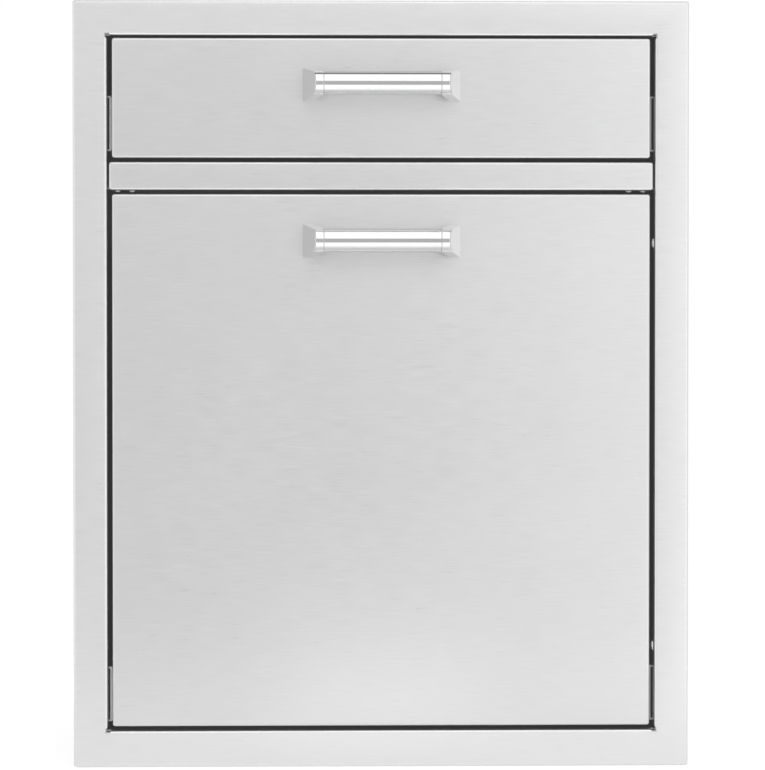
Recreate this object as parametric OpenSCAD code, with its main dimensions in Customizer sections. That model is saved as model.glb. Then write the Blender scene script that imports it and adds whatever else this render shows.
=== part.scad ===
// Built-in outdoor kitchen cabinet: a utility drawer above a roll-out trash drawer.
// X runs across the width, the front faces -Y and Z is up. The origin is on the sill of
// the cut-out: middle of the width, face of the island, underside of the enclosure.

/* [Face frame] */
// Overall width of the face frame
face_w = 508; // [490:1:560]
// Overall height of the face frame
face_h = 632; // [610:1:700]
// How far the face stands off the island
face_depth = 10; // [8:0.5:12]
// Width of the frame beside the opening
border_side = 28; // [24:0.5:36]
// Height of the frame above the opening
border_top = 28.5; // [24:0.5:36]
// Height of the frame below the opening
border_bottom = 30; // [24:0.5:36]
// Thickness of the face sheets
sheet_t = 1.2; // [1:0.1:1.5]
// Outside radius of the folds in the face sheets
bend_r = 2; // [1.8:0.1:2.6]
// How far the frame's inner return reaches behind the island's face
collar_reach = 3; // [2:0.5:4]

/* [Enclosure] */
// Depth of the enclosure behind the island's face
box_depth = 533; // [525:1:560]
// Thickness of the enclosure sheets
box_t = 1; // [0.8:0.1:1.2]
// Length of a mounting slot in the side panels, end to end
slot_len = 20; // [14:1:24]
// Width of a mounting slot
slot_w = 7; // [5:0.5:9]

/* [Drawer fronts] */
// Height of the upper drawer's front
upper_front_h = 98.7; // [95:0.1:110]
// Height of the divider rail between the drawers
divider_h = 23.2; // [20:0.1:28]
// Gap beside each front
front_side_gap = 4; // [3:0.5:5]
// Gap under the trash drawer's front
bottom_gap = 3.7; // [3:0.1:5]
// Gap above the upper drawer's front
top_gap = 2.2; // [2:0.1:4]
// Gap above and below the divider rail
divider_gap = 3.2; // [2.8:0.1:4]
// Thickness of a front, skin and liner together
front_t = 18; // [17:0.5:20]

/* [Drawer bodies] */
// Length of both drawer bodies
drawer_len = 500; // [495:1:505]
// Wall height of the upper drawer
upper_wall_h = 75; // [70:1:78]
// Wall height of the trash drawer's tray
tray_wall_h = 70; // [60:1:90]
// Height of the gussets that brace the trash drawer's front
gusset_h = 330; // [250:5:350]

/* [Slides] */
// Height of a slide
slide_h = 45.5; // [45:0.1:46]
// Diameter of a slide ball
ball_d = 3.2; // [3.1:0.05:3.2]
// Balls in one row
balls_per_row = 6; // [4:1:7]

/* [Handles] */
// Diameter of the round bar
bar_d = 19.05; // [18:0.05:20]
// Length of the bar between the two end posts
bar_len = 96; // [90:1:110]
// Width of a handle over both feet
handle_w = 130; // [124:1:146]
// Distance from the front to the middle of the bar
bar_standoff = 33; // [30:0.5:40]
// Height of a post's foot
foot_h = 27.3; // [24:0.1:30]
// Width of a post's foot
foot_w = 9.2; // [8.5:0.1:11]
// Distance from a front's top edge to the middle of its handle
handle_drop = 38.5; // [34:0.5:42]

/* [Trash bin] */
// Width of the bin over its rim
bin_w = 350; // [320:1:370]
// Depth of the bin over its rim, front to back
bin_l = 430; // [400:1:440]
// Height of the bin
bin_h = 395; // [350:1:400]
// Wall thickness of the bin
bin_wall = 2.5; // [2:0.1:3]

/* [Hidden] */
$fn = 48;
over = 1;                                    // how far a cutting tool runs past a face

// Opening of the frame, and the enclosure around it
face_y = -face_depth;
open_w = face_w - 2 * border_side;
open_h = face_h - border_top - border_bottom;
open_z0 = sheet_t + box_t;
open_z1 = open_z0 + open_h;
face_z0 = open_z0 - border_bottom;
inner_x = open_w / 2 + sheet_t;              // inside face of the side panels
outer_x = inner_x + box_t;
box_z1 = open_z1 + sheet_t + box_t;
box_y0 = face_y + 3;                         // the enclosure starts inside the frame's hollow
flange_w = 14;                               // folded edges of the enclosure sheets

// Rows of the front, from the bottom up
front_w = open_w - 2 * front_side_gap;
front_y1 = face_y + front_t;                 // back of both fronts
trash_front_z0 = open_z0 + bottom_gap;
trash_front_h = open_h - bottom_gap - top_gap - 2 * divider_gap - divider_h - upper_front_h;
divider_z0 = trash_front_z0 + trash_front_h + divider_gap;
divider_z1 = divider_z0 + divider_h;
upper_front_z0 = divider_z1 + divider_gap;
divider_end_gap = 1.6;
divider_depth = 32;
divider_screw_x = [-218, -206, 206, 218];
divider_screw_y = 13;

// Mounting slots in the side panels
slot_y = [20, 490];
slot_z = [69.3, 405.3];

// Slides: u runs from the bracket towards the drawer, v is the height from the slide's middle
bracket_t = 1.5;
bracket_depth = 4;
slide_x = inner_x - bracket_depth;           // where every slide starts
slide_u = 12.7;                              // thickness of a slide
slide_y0 = 10;
slide_y1 = 508;
slide_outer_y1 = 516;
trash_slide_z = open_z0 + 6 + slide_h / 2;
upper_slide_z = divider_z1 + 9.5 + slide_h / 2;
ball_u = 6.6;                                // middle of every ball row
ball_play = 0.05;
outer_row_v = 19.8;
inner_row_v = 15.8;
cage_y0 = 140;
cage_y1 = 360;
cage_t = 0.6;
outer_cage_u = 1.5;
inner_cage_u = 3.9;
outer_screw_y = [60, 250, 440];
inner_screw_y = [40, 200, 470];
screw_r = 2;
screw_play = 0.05;
head_r = 3.6;
head_h = 2.2;
slide_t = 1.2;                               // sheet of the slide members
outer_depth = 12;
outer_hollow_h = 42;
middle_u = 2.4;                              // back of the middle member's web
middle_depth = 8.4;
middle_h = 37.2;
middle_hollow_h = 34;
inner_u = 5.2;                               // edges of the inner member's flanges
inner_h = 29.2;
inner_hollow_h = 26.4;
inner_web_u = 11.5;                          // near face of the inner member's web

// Release levers, which turn on a headed post on the inner members
lever_pivot_y = 350;
lever_len = 50;
lever_u = 7.5;
lever_t = 3;
lever_arm_h = 6;
lever_hub_r = 5;
lever_tab = [5.1, 7, 10];                    // thickness, length and height of the finger tab
pivot_r = 2.5;
pivot_head_t = 0.7;
pivot_end_u = 7.2;                           // where the post's head starts

// Drawer bodies
body_x = slide_x - slide_u;                  // outside of the drawer walls
body_y1 = front_y1 + drawer_len;
body_t = 1;
body_fold_r = 2.5;
upper_body_z = upper_slide_z - slide_h / 2 + 3;
tray_z = trash_slide_z - slide_h / 2 + 3;
hem_r = 1.2;
hem_h = 8;
upper_screws = [[-150, upper_body_z + 14], [150, upper_body_z + 14],
                [-150, upper_body_z + 58], [150, upper_body_z + 58]];
tray_screws = [[-170, tray_z + 35], [-60, tray_z + 35], [60, tray_z + 35], [170, tray_z + 35]];
gusset_screws = [[-200, 150], [-200, 290], [200, 150], [200, 290]];
gusset_t = 1.2;
gusset_len = 250;

// Handles
bar_y = face_y - bar_standoff;
bar_r = bar_d / 2;
spigot_r = 8;
spigot_len = 12;
upper_handle_z = upper_front_z0 + upper_front_h - handle_drop;
trash_handle_z = trash_front_z0 + trash_front_h - handle_drop;
post_lean = 9.9 / 42.5;                      // the outer face leans in towards the bar
handle_screw_x = handle_w / 2 - 6.2;
handle_screw_depth = 11.5;

// Bin
bin_y = 245;
bin_z = tray_z + body_t;
bin_taper = 24;                              // the base is this much smaller on each side
bin_lip = 6;
bin_lip_h = 14;
bin_corner_r = 35;

// ---------------------------------------------------------------- shapes used more than once

// Extrudes a profile drawn as (x, z) from y0 to y1
module along_y(y0, y1) {
    translate([0, y1, 0]) rotate([90, 0, 0]) linear_extrude(y1 - y0) children();
}

// Extrudes a profile drawn as (y, z) from x0 to x1
module along_x(x0, x1) {
    translate([x0, 0, 0]) rotate([90, 0, 90]) linear_extrude(x1 - x0) children();
}

// A block across the first axis with its two near corners folded round
module folded_profile(w, near, far, r) {
    translate([-w / 2, near + r]) square([w, far - near - r]);
    translate([r - w / 2, near]) square([w - 2 * r, far - near]);
    for (side = [-1, 1]) translate([side * (w / 2 - r), near + r]) circle(r);
}

// A slot across the first axis whose two near edges open outwards round a fold
module flared_profile(w, near, far, r) {
    translate([-w / 2, near]) square([w, far - near]);
    difference() {
        translate([-w / 2 - r, near]) square([w + 2 * r, r]);
        for (side = [-1, 1]) translate([side * (w / 2 + r), near + r]) circle(r);
    }
}

// Block w x h about the middle, between two depths, with its four near edges folded round
module folded_block(w, h, near, far, r) {
    intersection() {
        translate([0, 0, -h / 2]) linear_extrude(h) folded_profile(w, near, far, r);
        along_x(-w / 2, w / 2) mirror([1, -1, 0]) folded_profile(h, near, far, r);
    }
}

// The same for a hole whose four near edges are folds
module flared_block(w, h, near, far, r) {
    intersection() {
        translate([0, 0, -h / 2 - r]) linear_extrude(h + 2 * r) flared_profile(w, near, far, r);
        along_x(-w / 2 - r, w / 2 + r) mirror([1, -1, 0]) flared_profile(h, near, far, r);
    }
}

// Tray folded from one sheet, open at the far side
module pan(w, h, near, far, t, r) {
    difference() {
        folded_block(w, h, near, far, r);
        folded_block(w - 2 * t, h - 2 * t, near + t, far + over, r - t);
    }
}

// Straight hole or rod along Y at (x, z)
module rod_y(x, z, r, y0, y1) {
    translate([x, y1, z]) rotate([90, 0, 0]) cylinder(h = y1 - y0, r = r);
}

// Straight hole or rod along X at (y, z)
module rod_x(y, z, r, x0, x1) {
    translate([x0, y, z]) rotate([0, 90, 0]) cylinder(h = x1 - x0, r = r);
}

// Pan-head screw along Y: the head sits on the plane y and the shank runs towards -Y
module screw_y(x, z, y, shank) {
    rod_y(x, z, head_r, y, y + head_h);
    rod_y(x, z, screw_r, y - shank, y + over);
}

// Puts a slide piece on its side of the cabinet
module on_side(side, z) {
    if (side == "left") {
        translate([-slide_x, 0, z]) children();
    } else {
        mirror([1, 0, 0]) translate([-slide_x, 0, z]) children();
    }
}

module both_sides(z) {
    on_side("left", z) children();
    on_side("right", z) children();
}

// ---------------------------------------------------------------- cabinet

module face_frame() {
    frame_mid_z = face_z0 + face_h / 2;
    open_mid_z = open_z0 + open_h / 2;
    relief_r = 2.5;
    color("gainsboro") difference() {
        union() {
            translate([0, 0, frame_mid_z]) pan(face_w, face_h, face_y, 0, sheet_t, bend_r);
            translate([0, 0, open_mid_z])
                flared_block(open_w + 2 * sheet_t, open_h + 2 * sheet_t,
                             face_y + sheet_t, collar_reach, bend_r - sheet_t);
        }
        translate([0, 0, open_mid_z])
            flared_block(open_w, open_h, face_y, collar_reach + over, bend_r);
        for (x = [-open_w / 2, open_w / 2]) {
            rod_y(x, open_z0, relief_r, face_y - over, collar_reach + over);
            rod_y(x, open_z1, relief_r, face_y - over, collar_reach + over);
        }
    }
}

module side_slot(y, z) {
    half_run = (slot_len - slot_w) / 2;
    for (dy = [-half_run, half_run]) {
        rod_x(y + dy, z, slot_w / 2, inner_x - over, outer_x + over);
    }
    translate([inner_x - over, y - half_run, z - slot_w / 2])
        cube([box_t + 2 * over, 2 * half_run, slot_w]);
}

module side_panel() {
    flange_y0 = collar_reach + 1;
    color("silver") difference() {
        union() {
            translate([inner_x, box_y0, box_t]) cube([box_t, box_depth - box_y0, box_z1 - 2 * box_t]);
            for (z = [box_t, box_z1 - 2 * box_t]) {
                translate([inner_x - flange_w, flange_y0, z])
                    cube([flange_w + box_t / 2, box_depth - flange_y0, box_t]);
            }
        }
        for (y = slot_y, z = slot_z) side_slot(y, z);
    }
}

module side_panel_left() {
    mirror([1, 0, 0]) side_panel();
}

module side_panel_right() {
    side_panel();
}

module back_panel() {
    panel_h = box_z1 - 4 * box_t;
    color("silver") translate([0, box_depth, box_z1 / 2]) mirror([0, 1, 0])
        pan(2 * inner_x, panel_h, 0, flange_w, box_t, bend_r);
}

module bottom_pan() {
    color("silver") translate([-outer_x, box_y0, 0]) cube([2 * outer_x, box_depth - box_y0, box_t]);
}

module top_panel() {
    color("silver") translate([-outer_x, box_y0, box_z1 - box_t])
        cube([2 * outer_x, box_depth - box_y0, box_t]);
}

// Channel between the drawers, open at the back
module divider_rail() {
    half_w = open_w / 2 - divider_end_gap;
    mid_z = divider_z0 + divider_h / 2;
    color("gainsboro") difference() {
        along_x(-half_w, half_w) translate([0, mid_z]) mirror([1, -1, 0]) difference() {
            folded_profile(divider_h, face_y, face_y + divider_depth, bend_r);
            folded_profile(divider_h - 2 * sheet_t, face_y + sheet_t,
                           face_y + divider_depth + over, bend_r - sheet_t);
        }
        for (x = divider_screw_x) divider_screw_hole(x);
    }
}

module divider_screw_hole(x) {
    translate([x, divider_screw_y, divider_z0 - over])
        cylinder(h = 2 * sheet_t + 2 * over, r = screw_r + screw_play);
}

// Angles on the side panels that carry the divider rail
module divider_brackets() {
    leg_y0 = 5;
    leg_y1 = 21;
    foot = 29;
    color("silver") difference() {
        for (side = [0, 1]) mirror([side, 0, 0]) {
            translate([inner_x - foot, leg_y0, divider_z0 + sheet_t])
                cube([foot, leg_y1 - leg_y0, sheet_t]);
            translate([inner_x - sheet_t, leg_y0, divider_z0 + sheet_t])
                cube([sheet_t, leg_y1 - leg_y0, 18]);
        }
        for (x = divider_screw_x) divider_screw_hole(x);
    }
}

module divider_screws() {
    color("dimgray") for (x = divider_screw_x) translate([x, divider_screw_y, divider_z0]) {
        translate([0, 0, -head_h]) cylinder(h = head_h, r = head_r);
        translate([0, 0, -over]) cylinder(h = 6 + over, r = screw_r);
    }
}

// Channels on the side panels that stand the slides clear of the frame's opening
module slide_bracket() {
    color("silver") difference() {
        along_y(slide_y0, slide_y0 + 508) difference() {
            translate([-bracket_depth, -slide_h / 2]) square([bracket_depth, slide_h]);
            translate([-bracket_depth - over, bracket_t - slide_h / 2])
                square([bracket_depth - bracket_t + over, slide_h - 2 * bracket_t]);
        }
        for (y = outer_screw_y) rod_x(y, 0, screw_r + screw_play, -bracket_depth, over);
    }
}

module slide_brackets() {
    both_sides(upper_slide_z) slide_bracket();
    both_sides(trash_slide_z) slide_bracket();
}

// ---------------------------------------------------------------- slides

module ball_grooves(v) {
    for (side = [-1, 1]) translate([ball_u, side * v]) circle(ball_d / 2 + ball_play);
}

// Channel that is screwed to the bracket
module slide_outer() {
    color("lightgray") difference() {
        along_y(slide_y0, slide_outer_y1) difference() {
            mirror([1, -1, 0]) folded_profile(slide_h, 0, outer_depth, bend_r);
            translate([slide_t, -outer_hollow_h / 2]) square([slide_u, outer_hollow_h]);
            ball_grooves(outer_row_v);
        }
        for (y = outer_screw_y) translate([0, y, 0]) rotate([0, 90, 0])
            cylinder(h = slide_t, r1 = screw_r + screw_play, r2 = head_r + screw_play);
    }
}

// Channel between the two ball rows
module slide_middle() {
    color("lightgray") along_y(slide_y0, slide_y1) difference() {
        translate([middle_u, -middle_h / 2]) square([middle_depth, middle_h]);
        translate([middle_u + slide_t, -middle_hollow_h / 2]) square([slide_u, middle_hollow_h]);
        ball_grooves(outer_row_v);
        ball_grooves(inner_row_v);
    }
}

// Channel that is screwed to the drawer, with the post that its release lever turns on
module slide_inner() {
    color("lightgray") difference() {
        union() {
            along_y(slide_y0, slide_y1) difference() {
                translate([inner_u, -inner_h / 2]) square([slide_u - inner_u, inner_h]);
                translate([inner_u - over, -inner_hollow_h / 2])
                    square([inner_web_u - inner_u + over, inner_hollow_h]);
                ball_grooves(inner_row_v);
            }
            rod_x(lever_pivot_y, 0, pivot_r, pivot_end_u, inner_web_u + slide_t / 2);
            rod_x(lever_pivot_y, 0, head_r, pivot_end_u - pivot_head_t, pivot_end_u);
        }
        for (y = inner_screw_y) rod_x(y, 0, screw_r + screw_play, inner_web_u - over, slide_u + over);
    }
}

module upper_slide_outer_left() {
    on_side("left", upper_slide_z) slide_outer();
}

module upper_slide_outer_right() {
    on_side("right", upper_slide_z) slide_outer();
}

module trash_slide_outer_left() {
    on_side("left", trash_slide_z) slide_outer();
}

module trash_slide_outer_right() {
    on_side("right", trash_slide_z) slide_outer();
}

module upper_slide_middle_left() {
    on_side("left", upper_slide_z) slide_middle();
}

module upper_slide_middle_right() {
    on_side("right", upper_slide_z) slide_middle();
}

module trash_slide_middle_left() {
    on_side("left", trash_slide_z) slide_middle();
}

module trash_slide_middle_right() {
    on_side("right", trash_slide_z) slide_middle();
}

module upper_slide_inner_left() {
    on_side("left", upper_slide_z) slide_inner();
}

module upper_slide_inner_right() {
    on_side("right", upper_slide_z) slide_inner();
}

module trash_slide_inner_left() {
    on_side("left", trash_slide_z) slide_inner();
}

module trash_slide_inner_right() {
    on_side("right", trash_slide_z) slide_inner();
}

function ball_y(i) = cage_y0 + 10 + i * (cage_y1 - cage_y0 - 20) / (balls_per_row - 1);

// Sheet cage that spaces one pair of ball rows; u0 is its web
module ball_cage(row_v, u0) {
    half_v = row_v + cage_t / 2;
    color("darkgray") difference() {
        along_y(cage_y0, cage_y1) difference() {
            translate([u0, -half_v]) square([9 - u0, 2 * half_v]);
            translate([u0 + cage_t, cage_t - half_v]) square([9, 2 * (half_v - cage_t)]);
        }
        for (i = [0 : balls_per_row - 1]) translate([ball_u, ball_y(i), -half_v - over])
            cylinder(h = 2 * (half_v + over), r = ball_d / 2 + ball_play);
    }
}

module ball_rows(row_v) {
    color("whitesmoke") for (side = [-1, 1], i = [0 : balls_per_row - 1])
        translate([ball_u, ball_y(i), side * row_v]) sphere(d = ball_d);
}

module upper_outer_cages() {
    both_sides(upper_slide_z) ball_cage(outer_row_v, outer_cage_u);
}

module upper_inner_cages() {
    both_sides(upper_slide_z) ball_cage(inner_row_v, inner_cage_u);
}

module trash_outer_cages() {
    both_sides(trash_slide_z) ball_cage(outer_row_v, outer_cage_u);
}

module trash_inner_cages() {
    both_sides(trash_slide_z) ball_cage(inner_row_v, inner_cage_u);
}

module upper_outer_balls() {
    both_sides(upper_slide_z) ball_rows(outer_row_v);
}

module upper_inner_balls() {
    both_sides(upper_slide_z) ball_rows(inner_row_v);
}

module trash_outer_balls() {
    both_sides(trash_slide_z) ball_rows(outer_row_v);
}

module trash_inner_balls() {
    both_sides(trash_slide_z) ball_rows(inner_row_v);
}

// Flush screws from the outer members into the brackets
module slide_outer_screws() {
    outer_screw_reach = 3.5;
    color("dimgray") for (z = [upper_slide_z, trash_slide_z]) both_sides(z)
        for (y = outer_screw_y) translate([0, y, 0]) rotate([0, 90, 0]) {
            cylinder(h = slide_t, r1 = screw_r, r2 = head_r);
            translate([0, 0, -outer_screw_reach])
                cylinder(h = outer_screw_reach + slide_t / 2, r = screw_r);
        }
}

// Screws from the inner members into the drawer walls
module inner_screw_row() {
    flat_head_h = 2;
    inner_screw_reach = 2.8;
    color("dimgray") for (y = inner_screw_y) {
        rod_x(y, 0, head_r, inner_web_u - flat_head_h, inner_web_u);
        rod_x(y, 0, screw_r, inner_web_u - over, slide_u + inner_screw_reach);
    }
}

module upper_slide_inner_screws() {
    both_sides(upper_slide_z) inner_screw_row();
}

module trash_slide_inner_screws() {
    both_sides(trash_slide_z) inner_screw_row();
}

// Rubber blocks that the closed slides meet at the back
module slide_stops() {
    stop_size = [9, 6, 24];
    color("black") for (z = [upper_slide_z, trash_slide_z]) both_sides(z)
        translate([slide_t, slide_y1 + 1, -stop_size[2] / 2]) cube(stop_size);
}

// Lever that frees the drawer from its slide: hub, arm and finger tab
module release_lever() {
    color("darkslategray") difference() {
        union() {
            rod_x(lever_pivot_y, 0, lever_hub_r, lever_u, lever_u + lever_t);
            translate([lever_u, lever_pivot_y - lever_len, -lever_arm_h / 2])
                cube([lever_t, lever_len, lever_arm_h]);
            translate([lever_u + lever_t - lever_tab[0], lever_pivot_y - lever_len, -lever_tab[2] / 2])
                cube(lever_tab);
        }
        rod_x(lever_pivot_y, 0, pivot_r + ball_play, lever_u - over, lever_u + lever_t + over);
    }
}

module upper_release_lever_left() {
    on_side("left", upper_slide_z) release_lever();
}

module upper_release_lever_right() {
    on_side("right", upper_slide_z) release_lever();
}

module trash_release_lever_left() {
    on_side("left", trash_slide_z) release_lever();
}

module trash_release_lever_right() {
    on_side("right", trash_slide_z) release_lever();
}

// ---------------------------------------------------------------- fronts and handles

module handle_screw_holes(z) {
    for (x = [-handle_screw_x, handle_screw_x])
        rod_y(x, z, screw_r + screw_play, face_y - over, front_y1 + 2 * over);
}

module front_skin(z0, h, handle_z) {
    color("gainsboro") difference() {
        translate([0, 0, z0 + h / 2]) pan(front_w, h, face_y, front_y1, sheet_t, bend_r);
        handle_screw_holes(handle_z);
    }
}

// Inner pan of a front, with the welded standoffs that take the handle screws
module front_liner(z0, h, handle_z, screws) {
    liner_t = 1;
    liner_reach = 13;
    color("silver") difference() {
        union() {
            translate([0, front_y1, z0 + h / 2]) mirror([0, 1, 0])
                pan(front_w - 2 * sheet_t, h - 2 * sheet_t, 0, liner_reach, liner_t, bend_r);
            for (x = [-handle_screw_x, handle_screw_x])
                rod_y(x, handle_z, 4.5, face_y + sheet_t, front_y1 - liner_t / 2);
        }
        handle_screw_holes(handle_z);
        for (at = screws) rod_y(at[0], at[1], screw_r + screw_play, front_y1 - 2, front_y1 + over);
    }
}

module handle_bar(z) {
    color("white") difference() {
        rod_x(bar_y, z, bar_r, -bar_len / 2, bar_len / 2);
        rod_x(bar_y, z, spigot_r + 0.02, -bar_len / 2 - over, bar_len / 2 + over);
    }
}

// Flared end post: round like the bar at the front, leaning out to a taller foot
module handle_post(z) {
    near_y = bar_y - bar_r - over;
    foot_x1 = handle_w / 2;
    foot_x0 = foot_x1 - foot_w;
    seam_x = bar_len / 2;
    color("white") difference() {
        union() {
            intersection() {
                along_x(seam_x, foot_x1) union() {
                    translate([bar_y, z]) circle(bar_r);
                    polygon([[bar_y, z - bar_r], [bar_y, z + bar_r],
                             [face_y, z + foot_h / 2], [face_y, z - foot_h / 2]]);
                }
                translate([0, 0, z - foot_h]) linear_extrude(2 * foot_h)
                    polygon([[seam_x, near_y], [foot_x1 - post_lean * (face_y - near_y), near_y],
                             [foot_x1, face_y], [foot_x0, face_y], [seam_x, bar_y]]);
            }
            rod_x(bar_y, z, spigot_r, seam_x - spigot_len, seam_x + over);
        }
        rod_y(handle_screw_x, z, screw_r + screw_play, face_y - handle_screw_depth - over, face_y + over);
    }
}

module handle_screws(z, seat_y) {
    shank = seat_y - face_y + handle_screw_depth;
    color("dimgray") for (x = [-handle_screw_x, handle_screw_x]) screw_y(x, z, seat_y, shank);
}

module upper_front_skin() {
    front_skin(upper_front_z0, upper_front_h, upper_handle_z);
}

module upper_front_liner() {
    front_liner(upper_front_z0, upper_front_h, upper_handle_z, upper_screws);
}

module upper_handle_bar() {
    handle_bar(upper_handle_z);
}

module upper_handle_post_left() {
    mirror([1, 0, 0]) handle_post(upper_handle_z);
}

module upper_handle_post_right() {
    handle_post(upper_handle_z);
}

module upper_handle_screws() {
    handle_screws(upper_handle_z, front_y1 + body_t);
}

module upper_front_screws() {
    color("dimgray") for (at = upper_screws) screw_y(at[0], at[1], front_y1 + body_t, 7);
}

module trash_front_skin() {
    front_skin(trash_front_z0, trash_front_h, trash_handle_z);
}

module trash_front_liner() {
    front_liner(trash_front_z0, trash_front_h, trash_handle_z, concat(tray_screws, gusset_screws));
}

module trash_handle_bar() {
    handle_bar(trash_handle_z);
}

module trash_handle_post_left() {
    mirror([1, 0, 0]) handle_post(trash_handle_z);
}

module trash_handle_post_right() {
    handle_post(trash_handle_z);
}

module trash_handle_screws() {
    handle_screws(trash_handle_z, front_y1);
}

module trash_front_screws() {
    color("dimgray") {
        for (at = tray_screws) screw_y(at[0], at[1], front_y1 + body_t, 7);
        for (at = gusset_screws) screw_y(at[0], at[1], front_y1 + gusset_t, 7);
    }
}

// ---------------------------------------------------------------- drawer bodies

// Section of a drawer body: floor, two walls and their hemmed tops
module body_section(z0, wall_h) {
    top = z0 + wall_h;
    difference() {
        folded_profile(2 * body_x, z0, top - hem_r, body_fold_r);
        folded_profile(2 * (body_x - body_t), z0 + body_t, top, body_fold_r - body_t);
    }
    for (side = [-1, 1]) {
        difference() {
            translate([side * (body_x - hem_r), top - hem_r]) circle(hem_r);
            translate([side * (body_x - hem_r), top - hem_r]) circle(hem_r - body_t);
            translate([side * (body_x - hem_r) - 2, top - hem_r - 3]) square([4, 3]);
        }
        translate([side * (body_x - 2 * hem_r + body_t / 2) - body_t / 2, top - hem_h])
            square([body_t, hem_h - hem_r]);
    }
}

// Drawer body folded from one sheet, open at the back
module drawer_body(z0, wall_h, slide_z, screws) {
    wall_x = body_x - body_t;
    color("silver") difference() {
        union() {
            along_y(front_y1, body_y1) body_section(z0, wall_h);
            translate([-wall_x - body_t / 2, front_y1, z0 + body_fold_r])
                cube([2 * wall_x + body_t, body_t, wall_h - hem_h - 5]);
            translate([-wall_x + 2, front_y1, z0 + body_t / 2])
                cube([2 * wall_x - 4, body_t, 4]);
        }
        for (at = screws) rod_y(at[0], at[1], screw_r + screw_play, 0, front_y1 + body_t + over);
        for (y = inner_screw_y)
            rod_x(y, slide_z, screw_r + screw_play, -body_x - over, body_x + over);
    }
}

// Back of a drawer body, folded on three sides
module drawer_back(z0, wall_h) {
    wall_x = body_x - body_t;
    back_h = wall_h - hem_h - 4;
    back_flange = 12;
    color("silver") intersection() {
        translate([0, body_y1, z0 + body_t + back_h / 2]) mirror([0, 1, 0])
            pan(2 * wall_x, back_h, 0, back_flange, body_t, bend_r);
        along_y(body_y1 - back_flange, body_y1)
            folded_profile(2 * wall_x, z0 + body_t, z0 + back_h - bend_r, body_fold_r - body_t);
    }
}

module upper_drawer_box() {
    handle_holes = [[-handle_screw_x, upper_handle_z], [handle_screw_x, upper_handle_z]];
    drawer_body(upper_body_z, upper_wall_h, upper_slide_z, concat(upper_screws, handle_holes));
}

module upper_drawer_back() {
    drawer_back(upper_body_z, upper_wall_h);
}

module trash_tray() {
    drawer_body(tray_z, tray_wall_h, trash_slide_z, tray_screws);
}

module trash_tray_back() {
    drawer_back(tray_z, tray_wall_h);
}

// Triangular plate from the tray's hem up the tall front, with a folded edge on the front
module trash_gusset() {
    plate_x = body_x - 2 * hem_r - gusset_t;
    tray_top = tray_z + tray_wall_h;
    gusset_top = tray_z + gusset_h;
    low_z = tray_top - 30;
    fold_w = 15;
    color("silver") difference() {
        union() {
            along_x(plate_x, plate_x + gusset_t)
                polygon([[front_y1 + body_t, low_z], [front_y1 + body_t, tray_top],
                         [front_y1, tray_top], [front_y1, gusset_top],
                         [front_y1 + 30, gusset_top], [front_y1 + gusset_len, tray_top],
                         [front_y1 + gusset_len, low_z]]);
            translate([plate_x - fold_w, front_y1, tray_top + 2])
                cube([fold_w + gusset_t / 2, gusset_t, gusset_top - tray_top - 2]);
        }
        for (at = gusset_screws)
            rod_y(at[0], at[1], screw_r + screw_play, 0, front_y1 + gusset_t + over);
    }
}

module trash_gusset_left() {
    mirror([1, 0, 0]) trash_gusset();
}

module trash_gusset_right() {
    trash_gusset();
}

// Angles on the tray's floor that keep the bin from sliding
module bin_rails() {
    rail_len = 300;
    rail_h = 25;
    rail_t = 1.2;
    foot = 14;
    color("silver") {
        for (rail = [[55, -1], [437, 1]]) {
            translate([-rail_len / 2, rail[0] - (rail[1] < 0 ? rail_t : 0), bin_z])
                cube([rail_len, rail_t, rail_h]);
            translate([-rail_len / 2, rail[0] - (rail[1] < 0 ? foot : 0), bin_z])
                cube([rail_len, foot, rail_t]);
        }
    }
}

// ---------------------------------------------------------------- bin

module rounded_slab(w, l, r, h) {
    linear_extrude(h) {
        square([w - 2 * r, l], center = true);
        square([w, l - 2 * r], center = true);
        for (x = [r - w / 2, w / 2 - r], y = [r - l / 2, l / 2 - r]) translate([x, y]) circle(r, $fn = 32);
    }
}

// Tapered block that is shrink smaller on every side than the bin's outside
module bin_form(shrink, z0, z1) {
    top_w = bin_w - 2 * bin_lip - 2 * shrink;
    top_l = bin_l - 2 * bin_lip - 2 * shrink;
    hull() {
        translate([0, 0, z0])
            rounded_slab(top_w - 2 * bin_taper, top_l - 2 * bin_taper, bin_corner_r - shrink, 0.1);
        translate([0, 0, z1 - 0.1]) rounded_slab(top_w, top_l, bin_corner_r - shrink, 0.1);
    }
}

module trash_bin() {
    skirt_r = bin_corner_r + bin_lip;
    color("slategray") translate([0, bin_y, bin_z]) difference() {
        union() {
            bin_form(0, 0, bin_h);
            difference() {
                translate([0, 0, bin_h - bin_lip_h]) rounded_slab(bin_w, bin_l, skirt_r, bin_lip_h);
                translate([0, 0, bin_h - bin_lip_h - over])
                    rounded_slab(bin_w - 2 * bin_wall, bin_l - 2 * bin_wall, skirt_r - bin_wall,
                                 bin_lip_h - bin_wall + over);
            }
        }
        bin_form(bin_wall, bin_wall, bin_h + 2 * over);
    }
}

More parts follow.
